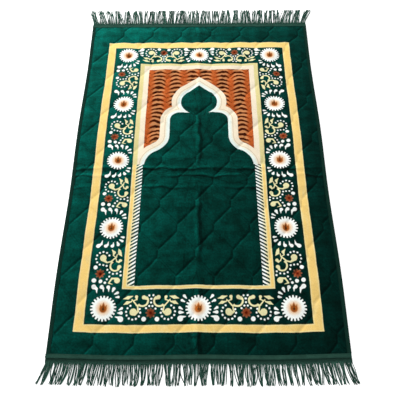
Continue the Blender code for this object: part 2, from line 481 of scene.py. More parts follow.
class Finish:
    """A material under construction, with the node makers that its expressions use."""

    def __init__(self, name, **constants):
        self.material = bpy.data.materials.new(name)
        self.material.use_nodes = True
        self.tree = self.material.node_tree
        self.shader = self.tree.nodes["Principled BSDF"]
        for socket, value in constants.items():
            self.shader.inputs[socket.replace("_", " ")].default_value = value

    def node(self, kind, settings, sockets, output=0):
        """One node: its settings are set first, then its sockets get their values or links."""
        node = self.tree.nodes.new("ShaderNode" + kind)
        for name, value in settings.items():
            setattr(node, name, value)
        for name, value in sockets.items():
            if isinstance(value, Wire):
                self.tree.links.new(value.socket, node.inputs[name])
            elif value is not None:
                node.inputs[name].default_value = value
        return Wire(self, node.outputs[output])

    def maths(self, operation, first, second=None, third=None, clamp=False):
        settings = {"operation": operation, "use_clamp": clamp}
        return self.node("Math", settings, {0: first, 1: second, 2: third})

    def vector(self, operation, first, second=None, scale=None):
        sockets = {0: first, 1: second}
        if scale is not None:
            sockets["Scale"] = scale
        output = "Value" if operation in ("LENGTH", "DISTANCE", "DOT_PRODUCT") else "Vector"
        return self.node("VectorMath", {"operation": operation}, sockets, output)

    def place(self, x, y, z=0.0):
        return self.node("CombineXYZ", {}, {"X": x, "Y": y, "Z": z})

    def parts(self, vector):
        first = self.node("SeparateXYZ", {}, {0: vector})
        return [Wire(self, output) for output in first.socket.node.outputs]

    def centred(self, colour):
        """A noise's colour as a vector that points every way alike."""
        return self.vector("SUBTRACT", colour, (0.5, 0.5, 0.5))

    def attribute(self, name):
        return self.node("Attribute", {"attribute_name": name}, {}, "Vector")

    def noise(self, vector, scale, detail=2.0, roughness=0.5, output="Fac"):
        sockets = {"Vector": vector, "Scale": scale, "Detail": detail, "Roughness": roughness}
        return self.node("TexNoise", {}, sockets, output)

    def lowest(self, *shapes):
        """The union of shapes given by their distances."""
        found = shapes[0]
        for shape in shapes[1:]:
            found = self.maths("MINIMUM", found, shape)
        return found

    def highest(self, *shapes):
        """Where all of the shapes overlap."""
        found = shapes[0]
        for shape in shapes[1:]:
            found = self.maths("MAXIMUM", found, shape)
        return found

    def melted(self, softness, *shapes):
        """The union of shapes, with their joints filled out."""
        found = shapes[0]
        for shape in shapes[1:]:
            found = self.maths("SMOOTH_MIN", found, shape, softness)
        return found

    def inside(self, distance, softness=EDGE_SOFTNESS):
        """1 inside a shape and 0 outside, across a soft edge."""
        return self.maths("MULTIPLY_ADD", distance, -1 / softness, 0.5, clamp=True)

    def ramp(self, value, low, high):
        """0 below low and 1 above high, straight between."""
        scale = 1 / (high - low)
        return self.maths("MULTIPLY_ADD", value, scale, -low * scale, clamp=True)

    def mix(self, share, first, second, blend="MIX"):
        """A colour: first where share is 0, and second where it is 1."""
        colours = [value if isinstance(value, Wire) else (*value[:3], 1.0) for value in (first, second)]
        sockets = {0: share, 6: colours[0], 7: colours[1]}
        return self.node("Mix", {"data_type": "RGBA", "blend_type": blend}, sockets, 2)

    def lit(self, colour, share):
        """A colour made brighter or darker."""
        return self.mix(1.0, colour, self.place(share, share, share), "MULTIPLY")

    def bump(self, height, distance, strength=1.0):
        return self.node("Bump", {}, {"Height": height, "Distance": distance, "Strength": strength}, "Normal")

    def feed(self, **links):
        for socket, wire in links.items():
            self.tree.links.new(wire.socket, self.shader.inputs[socket.replace("_", " ")])
        return self.material


# ---------------------------------------------------------------------------------------------------
# Shapes of the design, each as a distance in millimetres: below zero inside, above zero outside


def flat(x, y):
    return Vector((x, y, 0.0))


def disc(f, p, centre, radius):
    return f.vector("DISTANCE", p, flat(*centre)) - radius


def comma(f, p, head, tail):
    """A drop that narrows from its round head to its tail, each (x, y, half width)."""
    start, end = flat(*head[:2]), flat(*tail[:2])
    run = end - start
    offset = f.vector("SUBTRACT", p, start)
    share = f.maths("ADD", f.vector("DOT_PRODUCT", offset, run / run.length_squared), 0.0, clamp=True)
    away = f.vector("DISTANCE", offset, f.vector("SCALE", run, scale=share))
    return away - f.maths("MULTIPLY_ADD", share, tail[2] - head[2], head[2])


def strokes(f, p, *rows):
    """Brush strokes, each through places given as (x, y, half width). A row of one place is a dot."""
    shapes = []
    for row in rows:
        if len(row) == 1:
            shapes.append(disc(f, p, row[0][:2], row[0][2]))
        shapes += [comma(f, p, head, tail) for head, tail in zip(row, row[1:])]
    return shapes


def dots(f, p, *places):
    return f.lowest(*strokes(f, p, *([place] for place in places)))


def hook(f, p, head, size, tail):
    """A comma with a round head, whose tail leaves it sideways and bends on to where it ends."""
    bend = (head[0] + (tail[0] - head[0]) * 0.72 + size * 0.12, head[1] + (tail[1] - head[1]) * 0.30)
    tapering = [(*head, size * 0.86), (*bend, size * 0.52), (*tail, 0.5)]
    return f.melted(1.2, *strokes(f, p, [(*head, size)], tapering))


def arc(f, p, centre, radius, width, opening, reach):
    """A curved stem: a ring without the part that lies further than reach towards the opening's angle."""
    angle = math.radians(opening)
    offset = f.vector("SUBTRACT", p, flat(*centre))
    ring = abs(f.vector("LENGTH", offset) - radius) - width / 2
    return f.highest(ring, f.vector("DOT_PRODUCT", offset, flat(math.cos(angle), math.sin(angle))) - reach)


def turned(f, p, centre, angle):
    """Polar place about a centre: how far out, and the turn in radians from the given angle in degrees."""
    angle = math.radians(angle)
    offset = f.vector("SUBTRACT", p, flat(*centre))
    towards = f.vector("DOT_PRODUCT", offset, flat(math.cos(angle), math.sin(angle)))
    across = f.vector("DOT_PRODUCT", offset, flat(-math.sin(angle), math.cos(angle)))
    return f.vector("LENGTH", offset), f.maths("ARCTAN2", across, towards)


def nearest_of(f, turn, count, step):
    """Which of the evenly turned copies is nearest, counted from the middle one, and the turn left over."""
    half = (count - 1) / 2
    index = f.maths("ROUND", f.maths("MULTIPLY_ADD", turn, 1 / step, half))
    index = f.maths("SUBTRACT", f.lowest(f.highest(index, 0.0), count - 1.0), half)
    return index, turn - index * step


def beads(f, p, centre, radius, angle, count, step):
    """Round dots on an arc about a centre, as many each side of the given angle."""
    step = math.radians(step)
    out, turn = turned(f, p, centre, angle)
    _, rest = nearest_of(f, turn, count, step)
    return f.vector("LENGTH", f.place(out - radius, rest * radius)) - BEAD


def box(f, x, y, half_width, low, high):
    """A box in which x is already folded about its middle."""
    return f.highest(x - half_width, abs(y - (low + high) / 2) - (high - low) / 2)


def rounded_box(f, x, y, half_width, top, corner):
    """A box with round top corners and no bottom, in which x is already folded about its middle."""
    beyond = f.place(f.highest(x - (half_width - corner), 0.0), f.highest(y - (top - corner), 0.0))
    inside = f.lowest(f.highest(x - (half_width - corner), y - (top - corner)), 0.0)
    return f.vector("LENGTH", beyond) + inside - corner


def petals(f, p, centre):
    """A small flower of eight round petals. Also gives the distance out from its middle."""
    out, turn = turned(f, p, centre, 90.0)
    lobe = abs(f.maths("COSINE", turn * 4.0))
    deep = FLOWER_RADIUS * PETAL_DEPTH
    return out - f.maths("MULTIPLY_ADD", lobe, deep, FLOWER_RADIUS - deep), out


def side_motif(f, p):
    """The scrolls, dots and flower between two rosettes of a long side.

    X runs from the rosettes' middle line in towards the field, and Y from one rosette to the next.
    """
    x, y, _ = f.parts(p)
    to_rosette = f.place(x, ROSETTE_PITCH / 2 - abs(y - ROSETTE_PITCH / 2))
    stem = strokes(
        f, p,
        [(-11.5, 84, 8.0)],
        [(-13, 87.5, 5.0), (-1.5, 95.3, 1.8), (8, 93, 1.8), (20.5, 81, 1.5), (22.3, 73.5, 0.9)],
        [(19.5, 83.5, 1.2), (22.5, 91.5, 1.4), (28, 94, 2.0), (31.3, 89.5, 3.9)],
    )
    tendril = strokes(f, p, [(27.0, 115.0, 2.2), (30.2, 107, 5.2)])
    scroll = f.melted(MELT, *stem, arc(f, p, (20.5, 104), 12.8, 4.2, -40, 1.5), *tendril)
    curl = f.melted(MELT, *strokes(
        f, p,
        [(28, 142, 7.0)],
        [(28, 137, 2.6), (15, 136.8, 2.2), (8, 148, 1.7), (17, 151, 0.6)],
    ))
    leaves = f.melted(LEAF_MELT, *strokes(
        f, p,
        [(27, 64.5, 3.6), (28.5, 71, 4.4), (34, 78, 0.6)],
        [(27, 64.5, 3.6), (24.5, 58.5, 0.7)],
        [(14.5, 69, 3.6), (8.5, 61.5, 0.7)],
        [(14.5, 69, 3.6), (12.8, 77, 1.2), (20, 81.5, 1.0)],
    ))
    white = f.lowest(
        beads(f, p, (-12, 85.6), 17.0, 206.5, 9, 31),
        beads(f, p, (20, 103.4), 21.6, 113, 6, 26),
        dots(
            f, p,
            (-1.3, 104.1, 2.3), (7.7, 131.6, 2.4), (2.4, 138.5, 2.4), (-1.6, 147.3, 3.2), (35.5, 129, 2.6),
            (-28.4, 108.3, 5.1), (-28.8, 142, 5.4), (-13, 143.5, 4.6),
        ),
        hook(f, to_rosette, (-27.8, 52), 5.6, (-18.5, 36.5)),
        hook(f, to_rosette, (-8.7, 52.2), 4.7, (-3.5, 40)),
        hook(f, to_rosette, (7.6, 51.3), 4.4, (9.5, 40.5)),
        *strokes(
            f, to_rosette,
            [(21.8, 47, 4.1), (19.0, 40.5, 1.6)],
            [(31.8, 37.8, 3.1), (24.8, 34.5, 1.4)],
            [(34.0, 27.6, 3.0), (27.8, 27.0, 1.3)],
        ),
    )
    return f.lowest(scroll, curl, leaves), white, *petals(f, p, (-15.8, 124.4))


def end_motif(f, p, corner):
    """The scrolls, dots and flower of an end, mirrored about the point midway between two rosettes.

    X runs from that point to either rosette, and Y outwards. The corner's distance is large towards a rosette
    of a corner, where the long side has its own drops.
    """
    stem = strokes(
        f, p,
        [(41, 10.5, 8.2)],
        [(37.5, 15, 4.0), (29.3, 9, 2.2), (31.5, -4, 1.7)],
        [(33.7, -5.6, 1.7), (42, -15.5, 1.4), (45.5, -19.5, 1.0)],
    )
    tendrils = strokes(
        f, p,
        [(34, -5.2, 1.6), (26, -4.6, 2.2)],
        [(8.2, -21, 2.4), (17.5, -25, 5.0)],
        [(41, -16.5, 1.2), (34, -19.5, 1.5), (35.2, -26, 3.8)],
    )
    scroll = f.melted(MELT, *stem, arc(f, p, (20, -16.3), 12.8, 4.4, 316, 1.0), *tendrils)
    leaves = f.melted(LEAF_MELT, *strokes(
        f, p,
        [(55.5, -24.2, 4.3), (66.5, -21.2, 0.6)],
        [(55.5, -24.2, 4.3), (44.5, -27.5, 0.9)],
        [(56.5, -11.6, 3.9), (64.5, -7.6, 0.6)],
        [(56.5, -11.6, 3.9), (47, -14, 1.2), (44.5, -18.5, 1.0)],
    ))
    inner_drops = strokes(f, p, [(74, -16, 3.5), (80, -13, 1.4)], [(79, -27.5, 3.7), (84, -22, 1.4)])
    white = f.lowest(
        beads(f, p, (41, 11), 16.8, 71, 10, 30),
        beads(f, p, (20, -16.3), 20.2, 169, 5, 26.4),
        *strokes(
            f, p,
            [(15.6, 26.6, 5.4)],
            [(70.3, 26.4, 6.5)],
            [(72, 23.5, 3.8), (83, 21.5, 0.9)],
            [(69.6, 12.3, 4.0), (77.5, 12.3, 1.2)],
            [(69.0, 1.5, 3.4), (75, 5.0, 1.3)],
        ),
        f.lowest(*inner_drops) + corner,
    )
    return f.lowest(scroll, leaves), white, *petals(f, p, (0.0, 12.3))


def arch(f, x, y):
    """The niche: a pointed and shouldered arch on straight sides, in which x is folded about its middle."""
    p = f.place(x, y)
    crown = disc(f, p, (5, 219), 49.0)
    rise = flat(17.5, -14.7).normalized()
    slope = flat(-rise.y, rise.x)
    tip = f.vector("DOT_PRODUCT", f.vector("SUBTRACT", p, flat(0, 286)), slope)
    tip = f.highest(tip, x - 34.0, 240.0 - y)
    shoulder = rounded_box(f, x, y, 85.0, 176.0, 28.0)
    body = rounded_box(f, x, y, FIELD_HALF_WIDTH, 45.0, 67.0)
    hollow_centre, body_centre = flat(139, 87), flat(86.5, -22)
    line = (hollow_centre - body_centre).normalized()
    inner = flat(-line.y, line.x)
    side = -f.vector("DOT_PRODUCT", f.vector("SUBTRACT", p, body_centre), inner)
    beyond = f.maths("GREATER_THAN", f.highest(y - 87.0, side), 0.0) * FAR_OFF
    fillet = 54.0 - f.vector("DISTANCE", p, hollow_centre) + beyond
    return f.lowest(crown, tip, shoulder, body, fillet)


def brushed_ground_and_painted_shade(f, cloth, settings):
    """Green pile, crushed lengthwise and crosswise, with painted wrinkle shade near the creases and painted
    shade that makes it darker towards the near right.
    """
    x, y, _ = f.parts(f.attribute("cloth_place"))
    crosswise = f.noise(f.vector("MULTIPLY", cloth, (1.0, 3.6, 1.0)), 13.0, 3.0, 0.6)
    lengthwise = f.noise(f.vector("MULTIPLY", cloth, (3.2, 1.0, 1.0)), 13.0, 3.0, 0.6)
    brushing = crosswise + lengthwise * 0.8 + f.noise(cloth, 24.0, 4.0, 0.65)
    ground = f.mix(f.ramp(brushing, 1.40, 1.85), settings.ground, settings.ground_brushed)
    ground = f.mix(f.ramp(brushing, 1.42, 1.05), ground, settings.ground_deep)
    # Painted shade: thin dark wandering lines near the creases, for the shade in fine wrinkles.
    painted_wrinkle_shade = (
        wrinkle_shade_lines(f, cloth, (1.0, 3.4, 1.0)) * f.ramp(abs(y + 0.05), 0.13, 0.03),
        wrinkle_shade_lines(f, cloth, (3.4, 1.0, 1.0)) * f.ramp(abs(x), 0.09, 0.01),
    )
    ground = f.mix(f.highest(*painted_wrinkle_shade) * 0.55, ground, srgb(0, 18, 14))
    # Painted shade: the green grows darker towards the near right and lighter towards the far left, as the
    # light falls from the far left.
    return f.lit(ground, f.maths("EXPONENT", f.maths("MULTIPLY_ADD", y, 0.75, f.highest(x, -0.2) * -2.1)))


def gold_frame(f, cloth, x, y, ground, settings):
    """The wide gold band with narrow pale edges, laid on the ground, with a thin painted shadow line along
    its inner edge.
    """
    inner = box(f, x, y, *GOLD_FRAME["inner"])
    band = f.highest(box(f, x, y, *GOLD_FRAME["outer"]), -inner)
    grain = f.noise(f.vector("MULTIPLY", cloth, (1.0, 0.3, 1.0)), 80.0, 3.0, 0.6)
    paleness = f.ramp(band, -3.6, -1.6) * 0.6 + f.ramp(grain, 0.5, 0.8) * 0.5
    colour = f.mix(f.inside(band), ground, f.mix(paleness, settings.gold, settings.pale_gold))
    # Painted shadow: a thin dark olive line along the inner edge of the band, for the shade of the pile
    # there.
    return f.mix(f.inside(abs(inner + 1.2) - 1.4) * 0.55, colour, srgb(32, 48, 20))


def border_motifs(f, x, y, from_middle, colour, settings):
    """The scrolls, dots and flowers between the rosettes, laid on the colour."""
    far_rosette = DESIGN_MIDDLE + ROSETTE_PITCH
    mirrored_y = far_rosette - abs(y - far_rosette)
    end_y = from_middle - 2 * ROSETTE_PITCH
    near_shift = f.maths("MULTIPLY_ADD", f.maths("LESS_THAN", y, 0.0), NEAR_SHIFT, end_y)
    side = side_motif(f, f.place(ROSETTE_X - x, (DESIGN_MIDDLE - mirrored_y) % ROSETTE_PITCH))
    towards_corner = f.maths("GREATER_THAN", x, ROSETTE_X / 2) * FAR_OFF
    end = end_motif(f, f.place(abs(x - ROSETTE_X / 2), near_shift), towards_corner)
    beyond_side = f.maths("GREATER_THAN", end_y, 0.0) * FAR_OFF
    scroll, white, flower = (f.lowest(side[i] + beyond_side, end[i]) for i in range(3))
    out = f.lowest(side[3], end[3])
    flower_colour = f.mix(f.ramp(out, 2.0, 5.5), srgb(84, 20, 6), settings.flower)
    flower_colour = f.mix(f.ramp(out, 7.0, 12.0) * 0.7, flower_colour, srgb(150, 116, 92))
    colour = f.mix(f.inside(flower, 2.4), colour, flower_colour)
    colour = f.mix(f.inside(scroll), colour, settings.scroll)
    return f.mix(f.inside(white), colour, settings.white)


def rosettes(f, x, y, from_middle, colour, settings):
    """Two columns of five rosettes, and one at the middle of each end, laid on the colour."""
    no_middle_one = f.maths("LESS_THAN", from_middle, 1.5 * ROSETTE_PITCH) * FAR_OFF
    off_x = f.lowest(abs(x - ROSETTE_X), x + no_middle_one)
    off_y = (y - (DESIGN_MIDDLE - ROSETTE_PITCH / 2)) % ROSETTE_PITCH - ROSETTE_PITCH / 2
    p = f.place(off_x, off_y)
    out, turn = turned(f, p, (0, 0), 90.0)
    ray = f.ramp(f.maths("COSINE", turn * ROSETTE_RAYS), -0.55, 0.35)
    rim = out - (ray * (ROSETTE_RAY_TIP - ROSETTE_RADIUS) + ROSETTE_RADIUS)
    inside = f.mix(f.ramp(out, 9.0, 20.0), srgb(238, 190, 136), settings.white)
    bud = strokes(f, p, [(0, -2.0, 8.4)], [(0, 0, 6.0), (0, 13.0, 0.7)], [(5.0, 0, 3.2), (7.5, 7.5, 0.6)])
    inside = f.mix(f.inside(f.melted(2.0, *bud), 3.0), inside, srgb(158, 84, 30))
    heart = strokes(f, p, [(0, -2.5, 3.0)], [(0, 0, 1.6), (0, 8, 0.4)])
    inside = f.mix(f.inside(f.lowest(*heart), 2.5), inside, srgb(84, 44, 16))
    return f.mix(f.inside(rim), colour, inside)


def hatched_sides(f, x, y, ground, settings):
    """The field below the arch, with a strip of slanting white dashes on each side."""
    turn = (y + x * HATCH["slope"]) / HATCH["pitch"]
    dash = (abs(turn % 1.0 - 0.5) - 0.25) * HATCH["pitch"] * 0.8
    dash = f.highest(dash, HATCH["inner"] - x, x - HATCH["outer"], y - SPRINGING)
    return f.mix(f.inside(dash), ground, f.mix(f.ramp(x, 163.0, 172.0), settings.white, settings.pale_gold))


def niche_and_panel(f, cloth, x, y, ground, settings):
    """The head of the niche, the cream and white bands round it, and the rust panel over them."""
    niche = arch(f, x, y)
    bands = f.mix(f.ramp(niche, 13.2, 9.0), settings.cream, srgb(232, 234, 218))
    bands = f.mix(f.ramp(niche, 9.0, 5.0), bands, srgb(228, 240, 234))
    bands = f.mix(f.ramp(abs(niche - 13.6), 1.7, 0.6) * 0.6, bands, srgb(196, 176, 146))
    panel = f.highest(x - PANEL["half_width"], y - PANEL["top"], ARCH_BAND - niche)
    colour = f.mix(f.inside(panel), bands, rust_panel(f, x, y, cloth, settings))
    return f.mix(f.inside(niche), colour, ground)


def field_in_gold_line(f, cloth, x, y, ground, colour, settings):
    """The narrow gold line and all that is inside it, laid on the colour."""
    upper = f.ramp(y, SPRINGING - 0.4, SPRINGING + 0.4)
    line_outer = box(f, x, y, *GOLD_LINE["outer"])
    line_lower = f.highest(x - GOLD_LINE["lower"][0], GOLD_LINE["lower"][1] - y)
    line_upper = f.highest(x - GOLD_LINE["upper"][0], y - GOLD_LINE["upper"][1])
    line_inner = line_lower + upper * (line_upper - line_lower)
    edge = f.highest(line_outer, -line_inner)
    gold = f.mix(f.ramp(edge, -3.6, -1.4), settings.gold, settings.pale_gold)
    gold = f.mix(upper * 0.8, gold, srgb(216, 208, 150))
    below = hatched_sides(f, x, y, ground, settings)
    above = niche_and_panel(f, cloth, x, y, ground, settings)
    colour = f.mix(f.inside(line_outer), colour, gold)
    return f.mix(f.inside(line_inner), colour, f.mix(upper, below, above))


def build_velvet(settings):
    """The printed velvet: the whole design, its brushed pile, the line of the quilting stitches, and painted
    light and shade on its slopes, creases and stitch lines.
    """
    f = Finish(
        "printed_velvet", Roughness=0.88, Sheen_Weight=0.02, Sheen_Roughness=0.5, Specular_IOR_Level=0.03
    )
    f.shader.inputs["Sheen Tint"].default_value = (0.35, 0.9, 0.75, 1.0)
    cloth = f.vector("MULTIPLY", f.attribute("cloth_place"), (1.0, 1.0, 0.0))
    drawn = f.vector("SCALE", f.attribute("design_place"), scale=1 / MM)
    tufts = f.noise(cloth, 1 / settings.pile, 2.0, 0.6, "Color")
    strays = f.noise(cloth, 90.0, 2.0, 0.5, "Color")
    for wander, amount in ((tufts, 0.9), (strays, 1.3)):
        drawn = f.vector("ADD", drawn, f.vector("SCALE", f.centred(wander), scale=amount))
    signed_x, y, _ = f.parts(drawn)
    x = abs(signed_x)
    from_middle = abs(y - DESIGN_MIDDLE)
    ground = brushed_ground_and_painted_shade(f, cloth, settings)
    colour = gold_frame(f, cloth, x, y, ground, settings)
    colour = border_motifs(f, x, y, from_middle, colour, settings)
    colour = rosettes(f, x, y, from_middle, colour, settings)
    colour = field_in_gold_line(f, cloth, x, y, ground, colour, settings)

    # Painted light and shade: along each stitch line and crease, the slope that faces the lit side is painted
    # brighter, and the slope that faces away is painted darker
    _, _, lie = f.parts(f.attribute("cloth_place"))
    stitching, away, towards = stitches(f, cloth)
    pale = f.ramp(f.vector("DOT_PRODUCT", colour, (0.33, 0.33, 0.33)), 0.06, 0.30)
    painted_relief_shading = f.lowest(f.highest((1.0 - away * 0.5 + towards * 0.75) * (1.0 + lie * 2.2), 0.25), 2.0)
    colour = f.lit(colour, 1.0 + (painted_relief_shading - 1.0) * (1.0 - pale * 0.9))
    fine = f.noise(cloth, 0.7 / settings.pile, 3.0, 0.65)
    nap = f.noise(cloth, 210.0, 3.0, 0.6)
    grain = f.maths("MULTIPLY_ADD", f.ramp(fine, 0.25, 0.75), 0.34, 0.83)
    colour = f.lit(colour, grain * (1.0 + (f.ramp(nap, 0.3, 0.7) - 0.5) * (1.0 - pale * 0.85) * 0.7))
    height = fine * 0.45 + nap * 0.9 + f.ramp(stitching, 0.0, 6.0) * 0.8
    return f.feed(Base_Color=colour, Normal=f.bump(height, 0.0011, 0.75))


def wrinkle_shade_lines(f, cloth, stretch):
    """Thin wandering lines, short across the stretch, for painted wrinkle shade."""
    field = f.noise(f.vector("MULTIPLY", cloth, stretch), 8.0, 2.0, 0.5)
    return f.ramp(abs(field - 0.5), 0.018, 0.002)


def stitch_distance(f, cloth):
    """How far the cloth is from the nearest quilting stitch, in millimetres."""
    x, y, _ = f.parts(cloth)
    half_x, half_y = CELL_WIDTH / 2, CELL_PITCH / 2
    x = abs((x + (half_x - CELL_ORIGIN[0])) % CELL_WIDTH - half_x) / MM
    y = abs((y + (half_y - CELL_ORIGIN[1])) % CELL_PITCH - half_y) / MM
    line = [(corner[0] / MM, corner[1] / MM, 0) for corner in quilting_corners()]
    return f.lowest(*strokes(f, f.place(x, y), line))


def stitches(f, cloth):
    """How far the cloth is from the nearest stitch, and how much painted shade and painted highlight its
    slope there gets: shade where it slopes away from the lit side, highlight where it slopes towards it.
    """
    wander = f.centred(f.noise(cloth, 24.0, 2.0, 0.5, "Color"))
    cloth = f.vector("ADD", cloth, f.vector("SCALE", wander, scale=0.008))
    step = Vector((*LIT_SIDE, 0.0)) * STITCH_OFFSET * MM
    behind = stitch_distance(f, f.vector("SUBTRACT", cloth, step))
    ahead = stitch_distance(f, f.vector("ADD", cloth, step))
    # Painted shade on one side of the stitch line, painted highlight on the other
    painted_stitch_shading = f.ramp(behind, 5.5, 0.3) - f.ramp(ahead, 2.8, 0.2)
    return f.lowest(behind, ahead), f.highest(painted_stitch_shading, 0.0), f.highest(-painted_stitch_shading, 0.0)


def rust_panel(f, x, y, cloth, settings):
    """Rust ground with columns of dark, arched, uneven strokes and pale ones between them."""
    sway_x, sway_y, _ = f.parts(f.centred(f.noise(cloth, 22.0, 2.0, 0.5, "Color")))
    half = STROKES["spacing"] / 2
    off = (x - (STROKES["first"] - half)) % STROKES["spacing"] - half + sway_x * 13.0
    reach = f.highest(1.0 - (off / STROKES["half_width"]) ** 2.0, 0.0)
    lift = f.maths("MULTIPLY_ADD", off * off, 0.019, y) + sway_y * 17.0
    ripple = abs((lift / STROKES["pitch"]) % 1.0 - 0.5) * 2.0
    weight = f.noise(cloth, 75.0, 2.0, 0.5) - 0.5
    dark = ripple + weight * 0.9 - reach * 0.50
    pale = (1.0 - ripple) * 1.1 + weight * 0.5 - reach * 0.85 + 0.33
    ground = f.mix(f.ramp(f.noise(cloth, 60.0, 3.0, 0.6), 0.35, 0.7), settings.rust, srgb(190, 98, 46))
    ground = f.mix(f.ramp(pale, 0.42, 0.10), ground, settings.highlight)
    return f.mix(f.ramp(dark, 0.16, -0.04), ground, settings.stroke)


def build_backing():
    """The plain cloth underneath, with the quilting stitches showing through."""
    f = Finish("backing_cloth", Roughness=0.92, Specular_IOR_Level=0.2)
    cloth = f.attribute("cloth_place")
    x, y, _ = f.parts(cloth)
    thread = 2 * math.pi / BACKING_THREAD
    weave = f.maths("SINE", x * thread) * f.maths("SINE", y * thread)
    stitching = stitch_distance(f, cloth)
    seam = f.ramp(stitching, 1.2, 0.5) * f.ramp(f.maths("SINE", y * (2 * math.pi / STITCH_LENGTH)), -0.6, 0.2)
    patch = f.noise(cloth, 30.0, 3.0, 0.6)
    colour = f.mix(patch, srgb(24, 52, 45), srgb(34, 66, 57))
    colour = f.mix(f.ramp(weave, -0.6, 0.8) * 0.35, colour, srgb(46, 82, 72))
    colour = f.mix(seam * 0.7, colour, srgb(84, 120, 108))
    height = weave * 0.2 + seam * 0.8 + f.ramp(stitching, 0.0, 6.0) * 1.5
    return f.feed(Base_Color=colour, Normal=f.bump(height, 0.0006, 0.7))


def build_tape_cloth(settings):
    """Ribbed binding tape, with the seam that sews it down."""
    f = Finish("ribbed_tape", Roughness=0.92, Specular_IOR_Level=0.05)
    place = f.attribute("tape_place")
    along, across, shade = f.parts(place)
    rib = f.maths("SINE", along * (2 * math.pi / settings.rib))
    warp = f.maths("SINE", across * (2 * math.pi / TAPE_THREAD) + f.maths("SIGN", rib) * 1.57)
    stitch = abs(along / settings.stitch % 1.0 - 0.5) * 2.0
    from_seam = abs(across - SEAM_INSET)
    sewn = f.inside(f.highest(from_seam * (1 / MM) - 0.42, (stitch - 0.74) * 2.2), 0.25)
    patch = f.ramp(f.noise(place, 45.0, 3.0, 0.6), 0.25, 0.75)
    dark, painted_rib_shade = (tuple(value * share for value in settings.colour) for share in (0.55, 0.35))
    colour = f.mix(patch, dark, settings.colour)
    # Painted shade in the troughs between the ribs
    colour = f.mix(f.ramp(rib, -0.2, -0.95) * 0.45, colour, painted_rib_shade)
    colour = f.mix(sewn * 0.85, colour, srgb(34, 66, 56))
    colour = f.mix(shade, colour, srgb(2, 34, 27))
    height = rib * 0.45 + warp * 0.12 + sewn * 0.8 - f.ramp(from_seam, 0.0016, 0.0002) * 0.7
    return f.feed(Base_Color=colour, Normal=f.bump(height, 0.0004, 0.8))


def build_yarn(settings):
    """Twisted fringe yarn. Its attribute holds the way along, the turn about the yarn and its own shade."""
    f = Finish("twisted_yarn", Roughness=0.9, Specular_IOR_Level=0.06)
    along, around, tone = f.parts(f.attribute("yarn_place"))
    twist = f.maths("SINE", along * (2 * math.pi / YARN_TWIST) + around * (4 * math.pi))
    fuzz = f.noise(f.place(along * 1000.0, around * 6.0, tone * 9.0), 1.4, 3.0, 0.6)
    colour = f.mix(tone, settings.shade, settings.colour)
    # Painted shade in the grooves between the twisted plies
    colour = f.mix(f.ramp(twist, 0.1, -0.9) * 0.6, colour, tuple(value * 0.4 for value in settings.shade))
    colour = f.mix(f.ramp(fuzz, 0.5, 0.85) * 0.3, colour, srgb(96, 128, 116))
    height = twist * 0.6 + fuzz * 0.5
    return f.feed(Base_Color=colour, Normal=f.bump(height, 0.0005, 0.8))


def finish_named(name, build, *arguments):
    """A finish that several pieces share, built the first time."""
    return bpy.data.materials.get(name) or build(*arguments)


# ---------------------------------------------------------------------------------------------------
# The mat


def design_place(x, y):
    """Where a place of the flat cloth is in the design, which was printed a little off and uneven."""
    along = y / MM + DESIGN_SHIFT
    across = x * (1 + SIDE_FLARE * y / HALF_LENGTH)
    return across, (along + DESIGN_STRETCH * (along - DESIGN_MIDDLE) ** 2) * MM


def lay_mat_map(mat):
    """Gives nearly all of the bake's map to the face, and a strip each to the underside and the rim."""
    mesh = mat.data
    sides = values_of(mesh.polygons, "loop_total", np.int32)
    under = np.repeat(sides, sides) > 4
    normal = np.repeat(values_of(mesh.polygons, "normal", width=3), sides, axis=0)
    point = points_of(mat)[values_of(mesh.loops, "vertex_index", np.int32)]
    across, along = point[:, 0] / CLOTH_WIDTH + 0.5, point[:, 1] / CLOTH_LENGTH + 0.5
    u, v = 0.01 + 0.98 * across, 0.16 + 0.83 * along
    u[under], v[under] = 0.01 + 0.60 * along[under], 0.01 + 0.13 * across[under]

    # The rim: each side's edge, flat part underneath and step have a row each
    wall = ~under & (normal[:, 2] < 0.5)
    flat_rim = wall & (normal[:, 2] < -0.5)
    inward = np.minimum(HALF_WIDTH - np.abs(point[:, 0]), HALF_LENGTH - np.abs(point[:, 1]))
    ring = np.where(flat_rim, 1, np.where(inward < RIM_WIDTH / 2, 0, 2))
    nearer_long_side = np.abs(across - 0.5) > np.abs(along - 0.5)
    long_side = np.where(flat_rim, nearer_long_side, np.abs(normal[:, 0]) > np.abs(normal[:, 1]))
    side = np.where(long_side, np.where(point[:, 0] > 0, 0, 1), np.where(point[:, 1] > 0, 2, 3))
    depth = np.clip(np.where(flat_rim, inward / 0.02, point[:, 2] / RIM_TOP), 0, 1)
    u[wall] = (0.64 + 0.35 * np.where(long_side, along, across))[wall]
    v[wall] = (0.008 + 0.012 * (side * 3 + ring) + 0.009 * depth)[wall]
    uv_map = mesh.uv_layers.new(name="OFBake")
    uv_map.uv.foreach_set("vector", np.stack([u, v], axis=1).astype(np.float32).ravel())


def even_lines(half_size, cell):
    """Grid lines from one edge of the mat to the other, with one on each side where the rim begins."""
    edge, rim = half_size - RIM_SLACK, half_size - RIM_WIDTH
    inner = np.linspace(-rim, rim, round(2 * rim / cell) + 1)
    return np.concatenate([[-edge], inner, [edge]])


